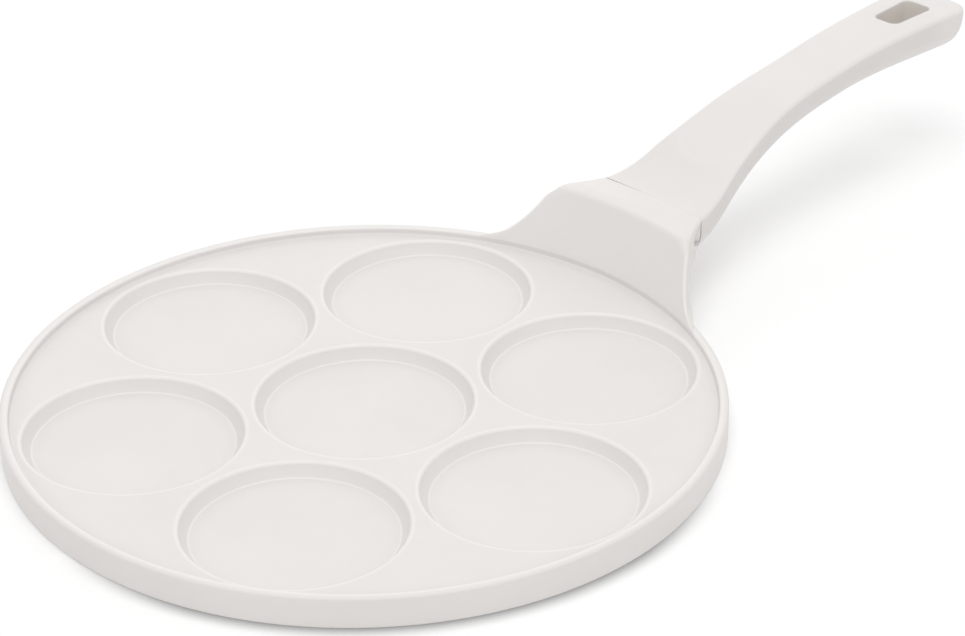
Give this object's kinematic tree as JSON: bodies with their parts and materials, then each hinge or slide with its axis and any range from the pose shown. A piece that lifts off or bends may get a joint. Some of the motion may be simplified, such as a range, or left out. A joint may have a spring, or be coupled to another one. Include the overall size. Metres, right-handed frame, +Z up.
{
  "type": "pancake pan",
  "caption": "Round cast pancake pan with shallow round cups in its face, a low raised lip, a flared saddle and a long arched handle with a hang slot.",
  "frame": {"origin": "centre of the base, on the plane that the pan stands on", "axes": "+X along the handle from the pan to the tip, +Z up out of the cups, +Y to the left when looking along +X"},
  "size_m": [0.4667, 0.265, 0.0637],
  "materials": {
    "coated_casting": "satin pale non-stick ceramic coat over cast aluminium",
    "handle_moulding": "matt soft-touch coat over moulded phenolic",
    "disc_steel": "rolled bare ferritic steel",
    "fastener_steel": "zinc-plated steel"
  },
  "bodies": {
    "root": {"pan_body": "coated_casting", "base_disc": "disc_steel", "handle_grip": "handle_moulding", "handle_screw": "fastener_steel", "flat_washer": "fastener_steel", "lock_washer": "fastener_steel"}
  },
  "joints": []
}
